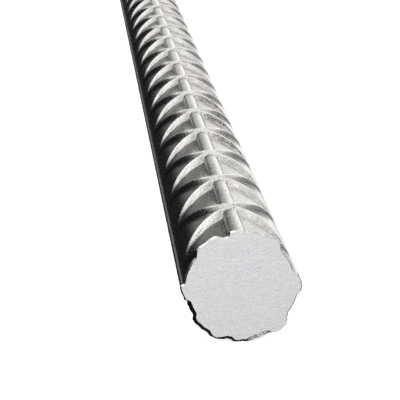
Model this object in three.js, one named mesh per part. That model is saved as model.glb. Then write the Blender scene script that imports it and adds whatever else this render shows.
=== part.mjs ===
// A straight cut length of hot-rolled deformed reinforcing bar, lying along Y and resting on its lowest
// lengthwise rib. The rolled section is a round core with four lengthwise ribs: the two groove ribs, at the
// top and bottom, come from the bottom of each roll's groove, and the two wider, flatter parting ribs, at the
// sides, from the gap between the rolls. Both ends are sawn square.
import * as THREE from "three";

// Driving dimensions, in millimetres, with the drafts in degrees.
const barLength = 610;
const coreDiameter = 31;
const grooveRib = {
  height: 1.45, // of the crown above the core
  crown: 3.4, // width of the flat crown, between its sharp corners
  draft: 25, // lean of each side from square
  crownRadius: 0.4,
  footRadius: 1.3,
};
const partingRib = {
  height: 1,
  crown: 4.4,
  draft: 48,
  crownRadius: 0.5,
  footRadius: 1.6,
};
const arcSteps = 10; // straight facets that each arc of the section is drawn with

const coreRadius = coreDiameter / 2;
const quarterTurn = Math.PI / 2;

// Each side of a rib is a leaning straight flank, rounded into the crown above it and the core below it.
// Everything is measured from the rib's own middle line, the side of positive angles, on a bar whose axis is
// the origin: along is the distance across the rib and out the distance from the axis.
function ribSide(rib) {
  const draft = THREE.MathUtils.degToRad(rib.draft);
  const turn = quarterTurn - draft; // angle between crown and flank
  const flank = rib.height / Math.cos(draft);
  const roundable = flank / 2 / Math.tan(turn / 2);
  const crownRadius = Math.min(rib.crownRadius, roundable, rib.crown / 2 / Math.tan(turn / 2));
  const footRadius = Math.min(rib.footRadius, roundable);
  const crownOut = coreRadius + rib.height;

  // The crown's rounding touches the flat crown and the flank, whose sharp corner is at half the crown.
  const crownCentre = {
    along: rib.crown / 2 - crownRadius * Math.tan(turn / 2),
    out: crownOut - crownRadius,
  };
  // The foot's rounding touches the flank from outside, so its centre is on a line that is parallel to the
  // flank, and it touches the core, so it is also one foot radius outside the core's circle.
  const normal = { along: Math.cos(draft), out: Math.sin(draft) };
  const line = {
    along: rib.crown / 2 + footRadius * normal.along,
    out: crownOut + footRadius * normal.out,
  };
  const slope = { along: Math.sin(draft), out: -Math.cos(draft) };
  const reach = coreRadius + footRadius;
  const across = line.along * slope.along + line.out * slope.out;
  const beyond = line.along ** 2 + line.out ** 2 - reach ** 2;
  const travel = -across - Math.sqrt(across ** 2 - beyond);
  const footCentre = {
    along: line.along + travel * slope.along,
    out: line.out + travel * slope.out,
  };
  return {
    draft,
    crownRadius,
    crownCentre,
    footRadius,
    footCentre,
    footAngle: Math.atan2(footCentre.along, footCentre.out), // where the rib leaves the core
  };
}

// The outline runs anticlockwise, rib by rib: up one side of the rib, over its crown, down its other side and
// round the core to the next rib.
function rolledSection(ribs) {
  const section = new THREE.Shape();
  ribs.forEach((rib, index) => {
    const middle = index * quarterTurn;
    const side = ribSide(rib);
    const place = (point, sign) => ({
      x: point.out * Math.cos(middle) - sign * point.along * Math.sin(middle),
      y: point.out * Math.sin(middle) + sign * point.along * Math.cos(middle),
    });
    const foot = (sign, from, to) => {
      const { x, y } = place(side.footCentre, sign);
      section.absarc(x, y, side.footRadius, middle + from, middle + to, true);
    };
    const crown = (sign, from, to) => {
      const { x, y } = place(side.crownCentre, sign);
      section.absarc(x, y, side.crownRadius, middle + from, middle + to, false);
    };
    const onCore = Math.PI - side.footAngle; // from the foot's centre back to the core
    const onFlank = quarterTurn + side.draft;
    foot(-1, onCore, onFlank);
    crown(-1, side.draft - quarterTurn, 0);
    crown(1, 0, quarterTurn - side.draft);
    foot(1, -onFlank, -onCore);
    const next = ribSide(ribs[(index + 1) % ribs.length]);
    section.absarc(0, 0, coreRadius, middle + side.footAngle, middle + quarterTurn - next.footAngle, false);
  });
  section.closePath();
  return section;
}

const steel = new THREE.MeshStandardMaterial({ color: 0xa9a8aa, roughness: 0.55, metalness: 1 });

const rolled = new THREE.ExtrudeGeometry(rolledSection([partingRib, grooveRib, partingRib, grooveRib]), {
  depth: barLength,
  bevelEnabled: false,
  curveSegments: arcSteps,
});
rolled.translate(0, 0, -barLength / 2);

const bar = new THREE.Mesh(rolled, steel);
bar.name = "bar";
bar.rotation.x = quarterTurn;
bar.position.z = coreRadius + grooveRib.height;

const group = new THREE.Group();
group.add(bar);

export default group;
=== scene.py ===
import math

import bmesh
import bpy
from mathutils import Matrix, Vector, noise


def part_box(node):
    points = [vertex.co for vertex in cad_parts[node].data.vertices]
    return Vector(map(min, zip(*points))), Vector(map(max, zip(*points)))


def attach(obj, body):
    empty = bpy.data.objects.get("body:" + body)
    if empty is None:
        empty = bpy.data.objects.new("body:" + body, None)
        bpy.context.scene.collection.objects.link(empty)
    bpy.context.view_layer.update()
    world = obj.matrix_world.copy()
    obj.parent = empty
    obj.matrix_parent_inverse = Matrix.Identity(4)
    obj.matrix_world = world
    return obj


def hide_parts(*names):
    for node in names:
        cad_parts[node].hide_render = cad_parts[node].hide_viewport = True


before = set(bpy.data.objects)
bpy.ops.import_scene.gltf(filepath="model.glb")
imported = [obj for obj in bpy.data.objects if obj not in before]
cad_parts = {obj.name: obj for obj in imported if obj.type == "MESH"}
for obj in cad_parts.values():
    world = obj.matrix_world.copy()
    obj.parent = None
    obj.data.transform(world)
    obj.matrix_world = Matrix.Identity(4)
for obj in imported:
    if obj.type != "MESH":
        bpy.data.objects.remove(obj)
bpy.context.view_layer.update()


# ---------------------------------------------------------------------------------------------
# The bar. It is steel, rolled hot in one piece between two rolls and sawn square at both ends. On a
# round core it has four lengthwise ribs, and in each half two sets of crescent ribs, which cross on the
# groove rib at the top or bottom and die out short of the parting ribs at the sides.

# Lengths are in millimetres. A place along the bar is measured from the near sawn end, and an angle from
# the top rib, clockwise as seen at that end.
MM = 0.001
CORE_RADIUS = 15.5  # the solid's, without its lengthwise ribs

low, high = (Vector(corner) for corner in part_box("bar"))
bar_length = (high.y - low.y) / MM
near_end = low.y / MM
far_end = high.y / MM
axis_height = (low.z + high.z) / 2 / MM
groove_height = (high.z - low.z) / 2 / MM - CORE_RADIUS
parting_height = (high.x - low.x) / 2 / MM - CORE_RADIUS

# Stations across a lengthwise rib, from its middle line outwards, in mm of arc, and how much of the
# rib's height is there.
GROOVE_STATIONS = (
    (0, 0.97),
    (0.9, 0.96),
    (1.4, 0.92),
    (1.75, 0.82),
    (2, 0.55),
    (2.2, 0.2),
    (2.4, 0.05),
    (2.7, 0),
)
PARTING_STATIONS = ((0, 1), (1.2, 0.98), (2, 0.9), (2.3, 0.5), (2.6, 0.12), (3.1, 0))
LOWER_RIB_SPREAD = 1.35  # the bottom rib's groove is worn broader than the top one's
OVERFILL = 1.5  # the steel spilled further under the right parting rib, which is broader there
OPEN_COLUMNS = 11  # spaces between two lengthwise ribs


def columns():
    """Angle and rib height of each column of the skin, once round the bar."""
    worn = tuple((offset * LOWER_RIB_SPREAD, share) for offset, share in GROOVE_STATIONS)
    spilled = tuple((offset * OVERFILL, share) for offset, share in PARTING_STATIONS)
    ribs = [
        # stations before and after the middle line, going round clockwise, and height
        (GROOVE_STATIONS, GROOVE_STATIONS, groove_height),
        (PARTING_STATIONS, spilled, parting_height),
        (worn, worn, groove_height),
        (PARTING_STATIONS, PARTING_STATIONS, parting_height),
    ]
    found = []
    for index, (before, after, height) in enumerate(ribs):
        centre = index * math.pi / 2
        for offset, share in reversed(before[1:]):
            found.append((centre - offset / CORE_RADIUS, height * share))
        for offset, share in after:
            found.append((centre + offset / CORE_RADIUS, height * share))
        next_before = ribs[(index + 1) % len(ribs)][0]
        start = centre + after[-1][0] / CORE_RADIUS
        end = centre + math.pi / 2 - next_before[-1][0] / CORE_RADIUS
        for step in range(1, OPEN_COLUMNS):
            found.append((start + (end - start) * step / OPEN_COLUMNS, 0))
    return found


def fold(angle):
    """Angle from the nearer groove rib, top or bottom, rounded so that both sides of it match."""
    turned = angle % math.pi
    return round(min(turned, math.pi - turned), 9)


# The crescents. Two branches lead away from each crossing on each side, one towards the sawn end and
# one away from it. They meet the next crossing's branches at an angle called their reach.
RIB_PITCH = 22.6
FIRST_CROSSING = 17.0  # from the sawn end, on the top rib
LOWER_SHIFT = -10.7  # how much further along the lower half's crossings are
LONG_REACH = math.radians(74)  # on the upper left and lower right
SHORT_REACH = math.radians(63)  # on the upper right and lower left, because the rolls stood askew
FAR_RIGHT_REACH = math.radians(80)  # the upper right branches that lead away climb more slowly
FAR_RIGHT_END = math.radians(70)  # and end before they meet the others
MEETING_GAP = 0.5  # half of what stays between two crests that meet
CROSSING_GAP = 0.8  # half the distance between the two crests on the groove rib
CRESCENT_HEIGHT = 1.9
LOWER_HEIGHT = 3.0  # the lower roll is cut deeper
REST_RADIUS = 17.35  # but no crest reaches further than this below the axis
CREST_FALL = 1.8  # the power by which a crest sinks towards its end
CREST_HALF_WIDTH = 0.3
CREST_LEAST = 0.2  # share of that width that the crest keeps where the crescent dies out
GENTLE_WIDTH = 2.2  # the flank that looks away from its crossing on the upper half, and towards it below
STEEP_WIDTH = 1.5  # and the other one
FILLET = 0.25  # at a crescent's foot
GENTLE_ROWS = (0.25, 0.36, 0.9, 1.6, 2.3, 2.6, 3.1)  # of the skin, beside a crest, from its middle line
STEEP_ROWS = (0.25, 0.36, 0.75, 1.2, 1.65, 1.95, 2.4)
ROWS_SHARE = 0.9  # of the room beside a crest, which they may take up at most


def reach_and_end(angle, away):
    """Where a branch would meet the next one, and where it ends, both in the sense of fold()."""
    upper = math.cos(angle) > 0
    right_side = math.sin(angle) > 0
    if upper and right_side and away:
        return FAR_RIGHT_REACH, FAR_RIGHT_END
    reach = LONG_REACH if upper != right_side else SHORT_REACH
    return reach, reach


def branch(angle, reach):
    """How far along the bar a crest is from its crossing, at an angle from the groove rib."""
    rise = math.hypot(RIB_PITCH / 2 * min(angle / reach, 1), CROSSING_GAP)
    return min(rise, RIB_PITCH / 2 - MEETING_GAP)


def crest_height(angle, end, lower):
    full = LOWER_HEIGHT if lower else CRESCENT_HEIGHT
    height = full * max(0, 1 - (angle / end) ** CREST_FALL)
    return min(height, REST_RADIUS / math.cos(angle) - CORE_RADIUS) if lower and height > 0 else height


def crescent_height(distance, height, width):
    """Height at a distance from the crest's middle line: a flat crest, a straight flank, a filleted foot."""
    if height <= 0:
        return 0
    flat = CREST_HALF_WIDTH * min(1, height / CRESCENT_HEIGHT + CREST_LEAST)
    flank = height - CRESCENT_HEIGHT / width * max(0, distance - flat)
    if flank > FILLET / 2:
        return flank
    return max(0, flank + FILLET / 2) ** 2 / (2 * FILLET)


def row_places(angle, reach, lower):
    """Distances from a crossing's middle of the rows in half a pitch, at an angle from the groove rib."""
    inside, outside = (GENTLE_ROWS, STEEP_ROWS) if lower else (STEEP_ROWS, GENTLE_ROWS)
    rise = branch(angle, reach)
    squeeze_in = min(1, ROWS_SHARE * rise / inside[-1])
    squeeze_out = min(1, ROWS_SHARE * (RIB_PITCH / 2 - rise) / outside[-1])
    inner = [rise - offset * squeeze_in for offset in reversed(inside)]
    outer = [rise + offset * squeeze_out for offset in outside]
    return [0.0, *inner, rise, *outer, RIB_PITCH / 2]


def smooth(value):
    """0 up to 0, 1 from 1, and an S curve between."""
    held = max(0, min(1, value))
    return held * held * (3 - 2 * held)


def wobble(x, y, z, size):
    """Smooth noise between about -1 and 1 whose waves are about this long."""
    return noise.noise(Vector((x, y, z)) / size * 2)


# Painted shade, drawn as dark specks, from 0 for none: in the corners, at the feet of the ribs and in the
# hollows, heavier on the shaded left of the top rib and round one place along the upper right. Distances
# from a groove rib's middle line are in mm of arc.
FOOT_HEIGHT = 0.5  # a rib or crescent lower than this is its foot
BARE_HEIGHT = 0.1  # and the surface beside it is below this
FLANK_HEIGHT = 0.05  # where a crescent's flank begins
LEFT_FOOT_SHADE = 1.9  # at the feet of the groove ribs, with half of it beside them
RIGHT_FOOT_SHADE = 0.15
CROWN_SHADE = ((1.3, 0.6), (0.6, 0.9), (-0.3, 0.5))  # on their crowns, past each distance left of the middle
POCKET_SHADE = 0.65  # in the pockets between the crossings on the left, less with the distance
POCKET_REACH = 12.0
NODE_SHADE = 0.4  # on the crescents' flanks beside a crossing
NODE_REACH = 3.2
LEFT_NODE_SHADE = 0.8  # beyond the crossing, on the left
LEFT_NODE_REACH = 6.0
RIGHT_NODE_SHADE = 0.5  # before the crossing, on the right
RIGHT_NODE_REACH = 3.4
HOLLOW_SHADE = 0.8  # in the hollows behind the crossings on the upper right
HOLLOW_START = math.radians(10)
HOLLOW_END = math.radians(48)
CROSSING_SHARE = 0.5  # of that, on the crossing's own line
FLANK_FOOT_SHADE = 0.5  # at the crescents' feet
HEAVY_SHADE = 1.1  # on the flanks that look towards the sawn end, where it is heavy
HEAVY_LEAST = 0.3  # and how heavy it has to be for that
HEAVY_PLACE = 100
HEAVY_REACH = 55


def painted_shade_at(angle, rib, crescent, on_crest, offset, beyond, place):
    """Painted shade at a point of the skin: offset is from its crossing, and beyond is outwards from the
    crest.
    """
    across = math.atan2(math.sin(angle), abs(math.cos(angle))) * CORE_RADIUS
    right_side = across > 0
    upper = math.cos(angle) > 0
    beside_rib = abs(across) < NODE_REACH
    bare = crescent < BARE_HEIGHT
    foot = crescent < FOOT_HEIGHT
    heavy = 1 - smooth((abs(place - HEAVY_PLACE) - HEAVY_REACH / 2) / HEAVY_REACH * 2)
    if rib > crescent and beside_rib:
        if rib < FOOT_HEIGHT:
            return RIGHT_FOOT_SHADE if right_side else LEFT_FOOT_SHADE
        return next((scale for left, scale in CROWN_SHADE if across <= -left), 0)
    if rib == 0 and bare and beside_rib and not right_side:
        return LEFT_FOOT_SHADE / 2
    if on_crest:
        return 0
    if upper and not right_side and rib == 0 and bare and beyond > 0:
        return POCKET_SHADE * (1 - smooth(-across / POCKET_REACH))
    if crescent > FLANK_HEIGHT and beyond > 0:
        if upper and right_side and offset < 0 and across < RIGHT_NODE_REACH:
            return RIGHT_NODE_SHADE
        if not right_side and offset > 0 and -across < LEFT_NODE_REACH:
            return LEFT_NODE_SHADE
    in_hollow = HOLLOW_START < fold(angle) < HOLLOW_END and foot and beyond < 0 and offset >= 0
    if upper and right_side and in_hollow:
        return HOLLOW_SHADE * (1 if offset > 0 else CROSSING_SHARE * heavy)
    if bare:
        return 0
    if upper and right_side and foot:
        return FLANK_FOOT_SHADE + (1 - FLANK_FOOT_SHADE) * heavy
    if upper and right_side and heavy > HEAVY_LEAST:
        return HEAVY_SHADE * heavy if beyond > 0 and offset < 0 else 0
    if foot:
        return FLANK_FOOT_SHADE
    return NODE_SHADE if beside_rib else 0


# The skin is a grid that is wrapped round the bar. Its rows follow the crescents, straighten towards the
# parting ribs, and reach past both ends until the saw cuts them.
SPARE_PITCHES = 2  # of the skin before the first crossing, and one less at the far end
WELD = 0.001  # points nearer to each other than this become one
ROLL_MISMATCH = 0.4  # the upper roll stood this far to the left of the axis, and the lower one to the right
PARTING_STEP = math.radians(5)  # the step between them lies this near to the parting line
CREST_SHARE = 0.98  # of a crescent's height, above which it is crest
CREST_HEIGHT_LEAST = 0.2  # a lower crest isn't rubbed
HIGHLIGHT_FROM = 0.9  # height of a lengthwise rib above which its lit right side is painted paler, a painted highlight
HIGHLIGHT_TO = 0.965  # but the middle of a groove rib, above this share of its height, isn't
ROUGHNESS = ((5, 0.03), (1.6, 0.02))  # waves of the surface: length and height
UNEVEN_WAVE = 14  # length of the waves in the crescents' places along the bar
UNEVEN_SHIFT = 0.12  # and how far they shift them


def build_skin():
    around = columns()
    half_rows = len(row_places(0, LONG_REACH, False)) - 1
    rows_per_pitch = 2 * half_rows
    rows = (math.ceil(bar_length / RIB_PITCH) + 2 * SPARE_PITCHES - 1) * rows_per_pitch
    half_side = 0.5
    mesh = bmesh.new()
    bmesh.ops.create_grid(mesh, x_segments=len(around), y_segments=rows, size=half_side)
    # Marks that the steel's material reads.
    flank_layer = mesh.verts.layers.float.new("flank")
    pale_layer = mesh.verts.layers.float.new("crest")
    corner_layer = mesh.verts.layers.float.new("corner")
    places = []
    for angle, _ in around:
        reaches = [reach_and_end(angle, away)[0] for away in (False, True)]
        places.append([row_places(fold(angle), reach, math.cos(angle) < 0) for reach in reaches])
    for vert in mesh.verts:
        column = round((vert.co.x + half_side) * len(around)) % len(around)
        row = round((vert.co.y + half_side) * rows) - SPARE_PITCHES * rows_per_pitch
        angle, rib = around[column]
        from_groove = fold(angle)
        lower = math.cos(angle) < 0

        # Where the row lies: on its crescent near the groove rib, and evenly spaced at the parting rib.
        crossing = FIRST_CROSSING + (LOWER_SHIFT if lower else 0)
        row_shift = round(LOWER_SHIFT / RIB_PITCH * rows_per_pitch) if lower else 0
        pitches, step = divmod(row - row_shift + half_rows, rows_per_pitch)
        step -= half_rows
        own = crossing + pitches * RIB_PITCH + math.copysign(places[column][step > 0][abs(step)], step)
        even = FIRST_CROSSING + row * RIB_PITCH / rows_per_pitch
        reach, end = reach_and_end(angle, step > 0)
        parting = smooth((from_groove - reach) / (math.pi / 2 - reach))
        place = own + (even - own) * parting

        # How high the steel stands there.
        offset = (place - crossing + RIB_PITCH / 2) % RIB_PITCH - RIB_PITCH / 2
        height = crest_height(from_groove, end, lower)
        helix_angle = math.atan(RIB_PITCH / 2 / (reach * CORE_RADIUS))
        beyond = (abs(offset) - branch(from_groove, reach)) * math.cos(helix_angle)
        width = STEEP_WIDTH if lower == (beyond > 0) else GENTLE_WIDTH
        crescent = crescent_height(abs(beyond), height, width)
        radius = CORE_RADIUS + max(rib, crescent)

        on_crest = height > CREST_HEIGHT_LEAST and crescent > height * CREST_SHARE
        on_flank = FLANK_HEIGHT < crescent <= height * CREST_SHARE and crescent > rib
        # Painted highlight: the lit right side of each lengthwise rib is marked to be painted paler, as the
        # rubbed crests are.
        paler = math.sin(angle) >= 0 and HIGHLIGHT_FROM < rib < groove_height * HIGHLIGHT_TO
        vert[flank_layer] = 1.0 if on_flank else 0.0
        vert[pale_layer] = 1.0 if on_crest or paler else 0.0
        # Painted shade: how darkly the corners, the feet and the shaded left are painted.
        vert[corner_layer] = painted_shade_at(angle, rib, crescent, on_crest, offset, beyond, place)

        past_parting = (math.pi / 2 - from_groove) * (1 if lower else -1)
        roll_shift = ROLL_MISMATCH * (2 * smooth(0.5 + past_parting / PARTING_STEP / 2) - 1)
        x = radius * math.sin(angle) + roll_shift
        z = radius * math.cos(angle)
        rough = sum(depth * wobble(x, place, z, size) for size, depth in ROUGHNESS)
        x += rough * math.sin(angle)
        z += rough * math.cos(angle)
        place += UNEVEN_SHIFT * wobble(x, place, z, UNEVEN_WAVE) * (1 - parting)
        vert.co = Vector((x, near_end + place, axis_height + z)) * MM
    bmesh.ops.remove_doubles(mesh, verts=mesh.verts, dist=WELD * MM)
    return mesh


# The sawn ends. Each cut is flat, with a burr round its rim. Where the saw came out, at the lower left,
# it left a ragged lip. Beside the bottom rib the metal is torn up, and handling has worn the right edge.
BURR = 0.15  # how far the saw has pushed the rim outwards
BURR_DEPTH = 0.3  # over this much of the bar's end
EDGE_BREAK = 0.32  # the narrow slope between the rim and the cut
ON_CUT = 0.01  # a point this near to where the skin is cut lies on it
TORN_OUT = 0.35  # how far the lip stands out, eats into the cut, and lies back from it
TORN_IN = 0.35
TORN_BACK = 0.45
LIP_RADIUS = 17.5  # but it goes no further out than this
WORN_IN = 0.3  # how far the worn edge eats into the cut and lies back from it
WORN_BACK = 0.1
RAISED_IN = 0.85  # and how far the torn metal eats into it and stands forward
RAISED_FORWARD = 0.9 * EDGE_BREAK
TORN_SHADE = 1.6  # darkening painted on each of the three; on the lip, which faces down and to the left, it is painted shade
WORN_DARKENING = 0.8
RAISED_DARKENING = 0.9
RIM_WAVE = 2.5  # length of the rim's waves
RIM_TEETH = 0.9  # and of the teeth on them
TEETH_SHARE = 0.4
LIP_RAGGED = 0.5  # share of the lip that waves and teeth add or take away
WORN_RAGGED = 0.3  # share of the worn edge
WEB_RAGGED = 0.3  # how far they move the edge of a web

# Arcs round the rim: the middle and half the width, in degrees clockwise from the top rib.
TORN_ARC = (-141, 42)
WORN_ARC = (61, 17)
RAISED_ARC = (167, 11)
SOFT_END = 8  # over which each of them ends
WEBS = (
    # arcs where smeared metal fills a hollow of the section, and the radius that it reaches
    (-133, 13, 16.3),
    (-164, 8, 16.1),
    (-178, 10, 17.2),
    (167, 11, 16.8),
    (144, 8, 18.3),
    (99, 4, 16.8),
    (21, 17, 16.4),
    (-27, 8, 17.1),
)


def within(angle, middle, half_width):
    """1 in an arc of the rim, and 0 outside it."""
    away = abs((angle - middle + 180) % 360 - 180)
    return 1 - smooth((away - half_width) / SOFT_END + 0.5)


def saw(mesh, place, facing):
    """Cuts the bar square at a place along it, and closes the cut with a flat face inside a burred rim."""
    setback = EDGE_BREAK + BURR_DEPTH
    level = (place - facing * setback) * MM
    bmesh.ops.bisect_plane(
        mesh,
        geom=mesh.verts[:] + mesh.edges[:] + mesh.faces[:],
        dist=WELD * MM,
        plane_co=(0, level, 0),
        plane_no=(0, facing, 0),
        clear_outer=True,
    )

    def cut_edges():
        ends = [edge for edge in mesh.edges if edge.is_boundary]
        return [edge for edge in ends if all(abs(vert.co.y - level) < ON_CUT * MM for vert in edge.verts)]

    bmesh.ops.subdivide_edges(mesh, edges=cut_edges(), cuts=2)
    edges = cut_edges()
    loops = []
    for _ in range(2):
        for edge in edges:
            edge.smooth = False
        made = bmesh.ops.extrude_edge_only(mesh, edges=edges)["geom"]
        edges = [item for item in made if isinstance(item, bmesh.types.BMEdge)]
        loops.append({vert for edge in edges for vert in edge.verts})
    for edge in edges:
        edge.smooth = False
    burr, rim = loops
    corner_layer = mesh.verts.layers.float["corner"]
    pale_layer = mesh.verts.layers.float["crest"]
    for vert in burr | rim:
        outwards = Vector((vert.co.x, 0, vert.co.z - axis_height * MM))
        radius = outwards.length / MM
        outwards.normalize()
        angle = math.degrees(math.atan2(outwards.x, outwards.z))
        worn = within(angle, *WORN_ARC)
        raised = within(angle, *RAISED_ARC)
        torn = within(angle, *TORN_ARC) * (1 - raised)
        waves = wobble(vert.co.x / MM, place, vert.co.z / MM, RIM_WAVE)
        ragged = waves + TEETH_SHARE * wobble(vert.co.x / MM, 0, vert.co.z / MM, RIM_TEETH)
        webs = [max(0, reach + WEB_RAGGED * ragged - radius) * within(angle, *arc) for *arc, reach in WEBS]
        web = max(webs)
        # Darkening painted on the rim: painted shade on the lip at the lower left, and darker paint on the
        # torn-up metal and the worn edge.
        vert[corner_layer] = TORN_SHADE * torn + RAISED_DARKENING * raised
        vert[pale_layer] = 1
        if vert in rim:
            vert[corner_layer] += WORN_DARKENING * worn
            inwards = EDGE_BREAK + TORN_IN * torn + RAISED_IN * raised - web
            inwards += WORN_IN * worn * (1 + WORN_RAGGED * ragged)
            vert.co += (Vector((0, facing * setback, 0)) - outwards * inwards) * MM
        else:
            lip = BURR * (1 + LIP_RAGGED * waves) * (1 - worn) + TORN_OUT * torn * (1 + LIP_RAGGED * ragged)
            vert.co += outwards * min(web + lip, max(0, LIP_RADIUS - radius)) * MM
            back = TORN_BACK * torn + WORN_BACK * worn - RAISED_FORWARD * raised
            vert.co.y += facing * (BURR_DEPTH - back) * MM
    caps = bmesh.ops.contextual_create(mesh, geom=edges)["faces"]
    for face in bmesh.ops.poke(mesh, faces=caps)["faces"]:
        face.material_index = 1
        face.smooth = False


skin = build_skin()
for face in skin.faces:
    face.smooth = True
saw(skin, near_end, -1)
saw(skin, far_end, 1)
bmesh.ops.recalc_face_normals(skin, faces=skin.faces)
bar_mesh = bpy.data.meshes.new("ribbed_bar")
skin.to_mesh(bar_mesh)
skin.free()
bar = bpy.data.objects.new("ribbed_bar", bar_mesh)
bpy.context.collection.objects.link(bar)


def linear(hex_colour):
    """An sRGB hex colour as the linear RGBA that a shader takes."""
    channels = [int(hex_colour[start : start + 2], 16) / 255 for start in (1, 3, 5)]
    return (*(c / 12.92 if c <= 0.04045 else ((c + 0.055) / 1.055) ** 2.4 for c in channels), 1)


def add(tree, kind, links=None, **settings):
    """Adds a node, sets its properties, and links or sets its inputs, by their names or numbers."""
    node = tree.nodes.new(kind)
    for name, value in settings.items():
        setattr(node, name, value)
    for socket, source in (links or {}).items():
        if hasattr(source, "links"):
            tree.links.new(source, node.inputs[socket])
        else:
            node.inputs[socket].default_value = source
    return node


def new_material(name):
    material = bpy.data.materials.new(name)
    material.use_nodes = True
    material.node_tree.nodes.clear()
    return material, material.node_tree


FIRST_COLOUR = 6  # a Mix node's colour inputs, by number, because others have the same names
SECOND_COLOUR = 7
MIXED_COLOUR = 2  # and its colour output

PATCH_SIZE = 9  # of the oxide
GRAIN_SIZE = 0.35  # real grain is finer, and is drawn this coarse to show
STREAK_SIZE = 0.5
SPECK_SIZE = 0.28  # of the specks of painted shade
STREAK_STRETCH = (1, 0.12, 1)  # a share below 1 draws a pattern out, here along the bar
SPECK_STRETCH = (1, 0.5, 1)
OXIDE_DEPTH = 0.045
OPEN_GRAIN = 0.3  # share of that depth that the grain has away from the flanks, where it has all of it
OPEN_STREAKS = 0.6  # and that the streaks have there, which don't reach the flanks


def hot_rolled_steel():
    """Hot-rolled steel: it cooled in air, so its skin is a thin grey oxide, and the rolls left it grainy.

    The eye sees satin metal in soft patches, pale where the crests rub and, as a painted highlight, on the
    lit right side of the lengthwise ribs, with dark pits in the grain and painted shade, in dark specks, in
    the corners and on the shaded left."""
    material, tree = new_material("hot_rolled_steel")
    place = add(tree, "ShaderNodeTexCoord").outputs["Object"]
    flank = add(tree, "ShaderNodeAttribute", attribute_name="flank").outputs["Fac"]
    crest = add(tree, "ShaderNodeAttribute", attribute_name="crest").outputs["Fac"]
    corner = add(tree, "ShaderNodeAttribute", attribute_name="corner").outputs["Fac"]
    patches = add(tree, "ShaderNodeTexNoise", {"Vector": place, "Scale": 1 / (PATCH_SIZE * MM), "Detail": 4})
    grain = add(tree, "ShaderNodeTexNoise", {"Vector": place, "Scale": 1 / (GRAIN_SIZE * MM), "Detail": 1})
    drawn = add(tree, "ShaderNodeMapping", {"Vector": place, "Scale": STREAK_STRETCH}).outputs["Vector"]
    streaks = add(tree, "ShaderNodeTexNoise", {"Vector": drawn, "Scale": 1 / (STREAK_SIZE * MM), "Detail": 2})
    drawn = add(tree, "ShaderNodeMapping", {"Vector": place, "Scale": SPECK_STRETCH}).outputs["Vector"]
    specks = add(tree, "ShaderNodeTexNoise", {"Vector": drawn, "Scale": 1 / (SPECK_SIZE * MM), "Detail": 1})

    # Oxide in large soft patches, paler where the crests rub. The lit right side of each lengthwise rib is
    # painted paler as well, a painted highlight.
    oxide = add(tree, "ShaderNodeValToRGB", {"Fac": patches.outputs["Fac"]})
    oxide.color_ramp.elements[0].position = 0.35
    oxide.color_ramp.elements[0].color = linear("#c9c7c5")
    oxide.color_ramp.elements[1].position = 0.65
    oxide.color_ramp.elements[1].color = linear("#d7d5d2")
    colours = {"Factor": crest, FIRST_COLOUR: oxide.outputs["Color"], SECOND_COLOUR: linear("#e6e4e0")}
    paler = add(tree, "ShaderNodeMix", colours, data_type="RGBA").outputs[MIXED_COLOUR]

    # Dark pits where the grain is low.
    limits = {"From Min": 0.45, "From Max": 0.32, "To Min": 0, "To Max": 0.7}
    pits = add(tree, "ShaderNodeMapRange", {"Value": grain.outputs["Fac"], **limits}).outputs["Result"]
    colours = {"Factor": pits, FIRST_COLOUR: paler, SECOND_COLOUR: linear("#5f5d5b")}
    pitted = add(tree, "ShaderNodeMix", colours, data_type="RGBA").outputs[MIXED_COLOUR]

    # Painted shade, in dark specks with a thin film between them, in the corners, at the feet and on the
    # shaded left.
    limits = {"From Min": 0.42, "From Max": 0.56, "To Min": 0.2, "To Max": 1}
    shade_specks = add(tree, "ShaderNodeMapRange", {"Value": specks.outputs["Fac"], **limits}).outputs["Result"]
    painted_shade = add(tree, "ShaderNodeMath", {0: shade_specks, 1: corner}, operation="MULTIPLY").outputs[0]
    colours = {"Factor": painted_shade, FIRST_COLOUR: pitted, SECOND_COLOUR: linear("#4b4948")}
    colour = add(tree, "ShaderNodeMix", colours, data_type="RGBA").outputs[MIXED_COLOUR]

    # The grain makes the metal duller in places and dents it, most of all on the crescents' flanks. Away
    # from them streaks do so too.
    limits = {"From Min": 0.3, "From Max": 0.7, "To Min": 0.17, "To Max": 0.28}
    rough = add(tree, "ShaderNodeMapRange", {"Value": grain.outputs["Fac"], **limits}).outputs["Result"]
    shares = {0: flank, 1: 1 - OPEN_GRAIN, 2: OPEN_GRAIN}
    depth = add(tree, "ShaderNodeMath", shares, operation="MULTIPLY_ADD").outputs[0]
    dents = add(tree, "ShaderNodeMath", {0: grain.outputs["Fac"], 1: depth}, operation="MULTIPLY").outputs[0]
    shares = {0: flank, 1: -OPEN_STREAKS, 2: OPEN_STREAKS}
    level = add(tree, "ShaderNodeMath", shares, operation="MULTIPLY_ADD").outputs[0]
    heights = {0: streaks.outputs["Fac"], 1: level, 2: dents}
    relief = add(tree, "ShaderNodeMath", heights, operation="MULTIPLY_ADD").outputs[0]
    bump = add(tree, "ShaderNodeBump", {"Height": relief, "Strength": 1, "Distance": OXIDE_DEPTH * MM})
    surface = {"Base Color": colour, "Metallic": 1, "Roughness": rough, "Normal": bump.outputs["Normal"]}
    shader = add(tree, "ShaderNodeBsdfPrincipled", surface)
    add(tree, "ShaderNodeOutputMaterial", {"Surface": shader.outputs["BSDF"]})
    return material


SAW_LINE = 0.33  # from one to the next
SAW_LINE_STRETCH = (0.15, 1, 1)  # they run from side to side
SAW_GRAIN = 0.21  # drawn coarser than it is, to show
SAW_LINE_SHARE = 0.3
SAW_DEPTH = 0.05


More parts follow.
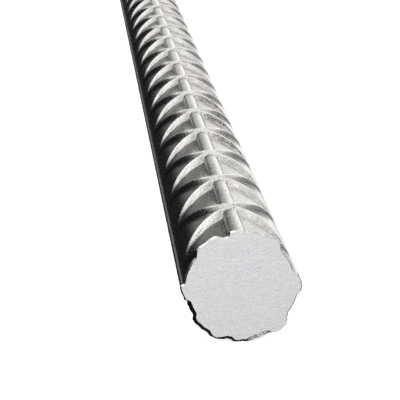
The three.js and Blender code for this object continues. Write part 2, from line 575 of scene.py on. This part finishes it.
def sawn_steel():
    """Sawn steel: bright bare metal, matt with fine grain and faint level lines from the saw's teeth."""
    material, tree = new_material("sawn_steel")
    place = add(tree, "ShaderNodeTexCoord").outputs["Object"]
    drawn = add(tree, "ShaderNodeMapping", {"Vector": place, "Scale": SAW_LINE_STRETCH}).outputs["Vector"]
    lines = add(tree, "ShaderNodeTexNoise", {"Vector": drawn, "Scale": 1 / (SAW_LINE * MM), "Detail": 0})
    grain = add(tree, "ShaderNodeTexNoise", {"Vector": place, "Scale": 1 / (SAW_GRAIN * MM), "Detail": 0})
    shares = {0: lines.outputs["Fac"], 1: SAW_LINE_SHARE}
    faint = add(tree, "ShaderNodeMath", shares, operation="MULTIPLY").outputs[0]
    shares = {0: grain.outputs["Fac"], 1: 1 - SAW_LINE_SHARE, 2: faint}
    marks = add(tree, "ShaderNodeMath", shares, operation="MULTIPLY_ADD").outputs[0]
    tint = add(tree, "ShaderNodeValToRGB", {"Fac": marks})
    tint.color_ramp.elements[0].position = 0.3
    tint.color_ramp.elements[0].color = linear("#c7c7cb")
    tint.color_ramp.elements[1].position = 0.7
    tint.color_ramp.elements[1].color = linear("#e5e5e6")
    bump = add(tree, "ShaderNodeBump", {"Height": marks, "Strength": 0.3, "Distance": SAW_DEPTH * MM})
    surface = {"Base Color": tint.outputs["Color"], "Metallic": 1, "Roughness": 0.4}
    shader = add(tree, "ShaderNodeBsdfPrincipled", {**surface, "Normal": bump.outputs["Normal"]})
    add(tree, "ShaderNodeOutputMaterial", {"Surface": shader.outputs["BSDF"]})
    return material


bar_mesh.materials.append(hot_rolled_steel())
bar_mesh.materials.append(sawn_steel())
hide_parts("bar")
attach(bar, "root")


# ---------------------------------------------------------------------------------------------
# The studio's floor, a smooth cove painted a plain pale grey, which turns up into a wall all round. It
# glows a little, in place of a studio's many lamps, and the steel doesn't mirror it.

# Lengths from here to the camera are in metres.
FLOOR_RADIUS = 7.0
CORNER_RADIUS = 1.5
CORNER_STEPS = 8
WALL_HEIGHT = 5.0
WALL_SIDES = 48
FLOOR_GAP = 0.0006  # below the solid, because the lower crescents and the lip reach below it
FLOOR_WELD = 0.0001
floor_level = low.z - FLOOR_GAP

profile = [(0, 0)]
for step in range(CORNER_STEPS + 1):
    turned = math.pi / 2 * step / CORNER_STEPS
    profile.append((FLOOR_RADIUS + CORNER_RADIUS * math.sin(turned), CORNER_RADIUS * (1 - math.cos(turned))))
profile.append((FLOOR_RADIUS + CORNER_RADIUS, WALL_HEIGHT))
cove = bmesh.new()
points = [cove.verts.new((x, 0, floor_level + z)) for x, z in profile]
lines = [cove.edges.new(pair) for pair in zip(points, points[1:])]
bmesh.ops.spin(
    cove,
    geom=points + lines,
    axis=(0, 0, 1),
    cent=(0, 0, 0),
    steps=WALL_SIDES,
    angle=math.tau,
    use_merge=True,
)
bmesh.ops.remove_doubles(cove, verts=cove.verts, dist=FLOOR_WELD)
bmesh.ops.recalc_face_normals(cove, faces=cove.faces)
if sum(face.normal.z for face in cove.faces) < 0:
    bmesh.ops.reverse_faces(cove, faces=cove.faces)
for face in cove.faces:
    face.smooth = True
floor_mesh = bpy.data.meshes.new("floor")
cove.to_mesh(floor_mesh)
cove.free()
floor = bpy.data.objects.new("floor", floor_mesh)
bpy.context.collection.objects.link(floor)
floor.visible_glossy = False

paint, paint_tree = new_material("floor_paint")
paint_surface = {"Base Color": linear("#f4f4f4"), "Roughness": 0.9}
paint_glow = {"Emission Color": linear("#ffffff"), "Emission Strength": 0.55}
paint_shader = add(paint_tree, "ShaderNodeBsdfPrincipled", {**paint_surface, **paint_glow})
add(paint_tree, "ShaderNodeOutputMaterial", {"Surface": paint_shader.outputs["BSDF"]})
floor_mesh.materials.append(paint)


# ---------------------------------------------------------------------------------------------
# The studio's light. A soft lamp over the bar lights the floor and casts the bar's shadow, and isn't
# mirrored. What the steel mirrors, and what makes its sheen, is soft white cards in a dark room.

LAMP_PLACE = Vector((0.8, 0.3, 1.3))
LAMP_SIZE = (0.8, 1.2)
LAMP_POWER = 4

lamp_data = bpy.data.lights.new("key", "AREA")
lamp_data.shape = "RECTANGLE"
lamp_data.size, lamp_data.size_y = LAMP_SIZE
lamp_data.energy = LAMP_POWER
lamp = bpy.data.objects.new("key", lamp_data)
bpy.context.collection.objects.link(lamp)
lamp.location = LAMP_PLACE
lamp.rotation_euler = (-LAMP_PLACE).to_track_quat("-Z", "Y").to_euler()
lamp.visible_glossy = False

ROOM_LIGHT = 0.012
CARDS = (
    # towards (right, along the bar, up), cosine where the card starts and where it is full, strength
    ((0.33, 0.93, 0.1), 0.86, 0.93, 1.25),
    ((0.62, 0.76, 0.2), 0.86, 0.93, 1.2),
    ((0.95, 0.2, -0.1), 0.3, 0.8, 0.42),
    ((0.35, 0.0, 0.94), 0.5, 0.75, 1.12),
    ((-0.3, 0.1, 0.95), 0.8, 0.92, 1.5),
    ((-0.35, -0.5, 0.8), 0.8, 0.92, 1.6),
    ((-0.25, 0.87, 0.42), 0.88, 1.0, 0.3),
    ((0, -0.97, -0.12), 0.62, 0.96, 1.35),
    ((0.36, 0.82, -0.45), 0.9, 0.99, 0.8),
    ((-0.5, -0.7, 0.5), 0.8, 0.98, 0.6),
    ((0.75, -0.65, 0), 0.8, 0.95, 0.9),
    ((0, 0, -1.0), 0.6, 0.9, 0.06),
)

room = bpy.data.worlds.new("studio")
room.use_nodes = True
room.node_tree.nodes.clear()
direction = add(room.node_tree, "ShaderNodeTexCoord").outputs["Generated"]
light = ROOM_LIGHT
for towards, start, full, strength in CARDS:
    centre = Vector(towards).normalized()
    facing = add(room.node_tree, "ShaderNodeVectorMath", {0: direction, 1: centre}, operation="DOT_PRODUCT")
    limits = {"From Min": start, "From Max": full, "To Min": 0, "To Max": strength}
    card = add(
        room.node_tree,
        "ShaderNodeMapRange",
        {"Value": facing.outputs["Value"], **limits},
        interpolation_type="SMOOTHSTEP",
    )
    brighter = {0: card.outputs["Result"], 1: light}
    light = add(room.node_tree, "ShaderNodeMath", brighter, operation="MAXIMUM").outputs[0]
background = add(room.node_tree, "ShaderNodeBackground", {"Color": linear("#ffffff"), "Strength": light})
add(room.node_tree, "ShaderNodeOutputWorld", {"Surface": background.outputs["Background"]})
bpy.context.scene.world = room
bpy.context.scene.view_settings.view_transform = "Standard"


# ---------------------------------------------------------------------------------------------
# The camera. A 95 mm lens close to the sawn end looks along the bar, from above and from the right,
# so that the bar runs away to the upper left and out of the frame.

LENS = 95.0  # mm
SENSOR = 36  # mm wide
FRAME_PX = 400
BAR_CENTRE_PX = Vector((241.8, 286.8))  # where the middle of the sawn end is seen
VANISHING_PX = Vector((71.2, -232.9))  # where the bar's axis would meet the horizon
CORE_SEEN_PX = 56.6  # radius of the round core at the sawn end
TOP_RIB_LEAN = math.radians(-6.4)  # turn of the top rib from upright
focal_px = LENS / SENSOR * FRAME_PX
middle_px = Vector((FRAME_PX / 2, FRAME_PX / 2))


def ray(pixel):
    """The direction in which a pixel looks: right, down and ahead of the camera."""
    return Vector((*(pixel - middle_px), focal_px))


along = ray(VANISHING_PX).normalized()
to_end = ray(BAR_CENTRE_PX) * CORE_RADIUS / CORE_SEEN_PX
level_up = Vector((0, -1, 0))
level_up = (level_up - along * level_up.dot(along)).normalized()
level_right = along.cross(level_up)
up = level_up * math.cos(TOP_RIB_LEAN) + level_right * math.sin(TOP_RIB_LEAN)
right = level_right * math.cos(TOP_RIB_LEAN) - level_up * math.sin(TOP_RIB_LEAN)


def to_bar(direction):
    """A camera direction (right, down, ahead) in the bar's frame."""
    return Vector((direction.dot(right), direction.dot(along), direction.dot(up)))


camera_data = bpy.data.cameras.new("camera")
camera_data.lens = LENS
camera_data.sensor_width = SENSOR
camera_data.clip_start = 0.01
camera = bpy.data.objects.new("camera", camera_data)
bpy.context.collection.objects.link(camera)
camera_axes = [to_bar(Vector(axis)) for axis in ((1, 0, 0), (0, -1, 0), (0, 0, -1))]
turn = Matrix(camera_axes).transposed()
eye = Vector((0, near_end, axis_height)) - to_bar(to_end)
camera.matrix_world = Matrix.Translation(eye * MM) @ turn.to_4x4()
bpy.context.scene.camera = camera
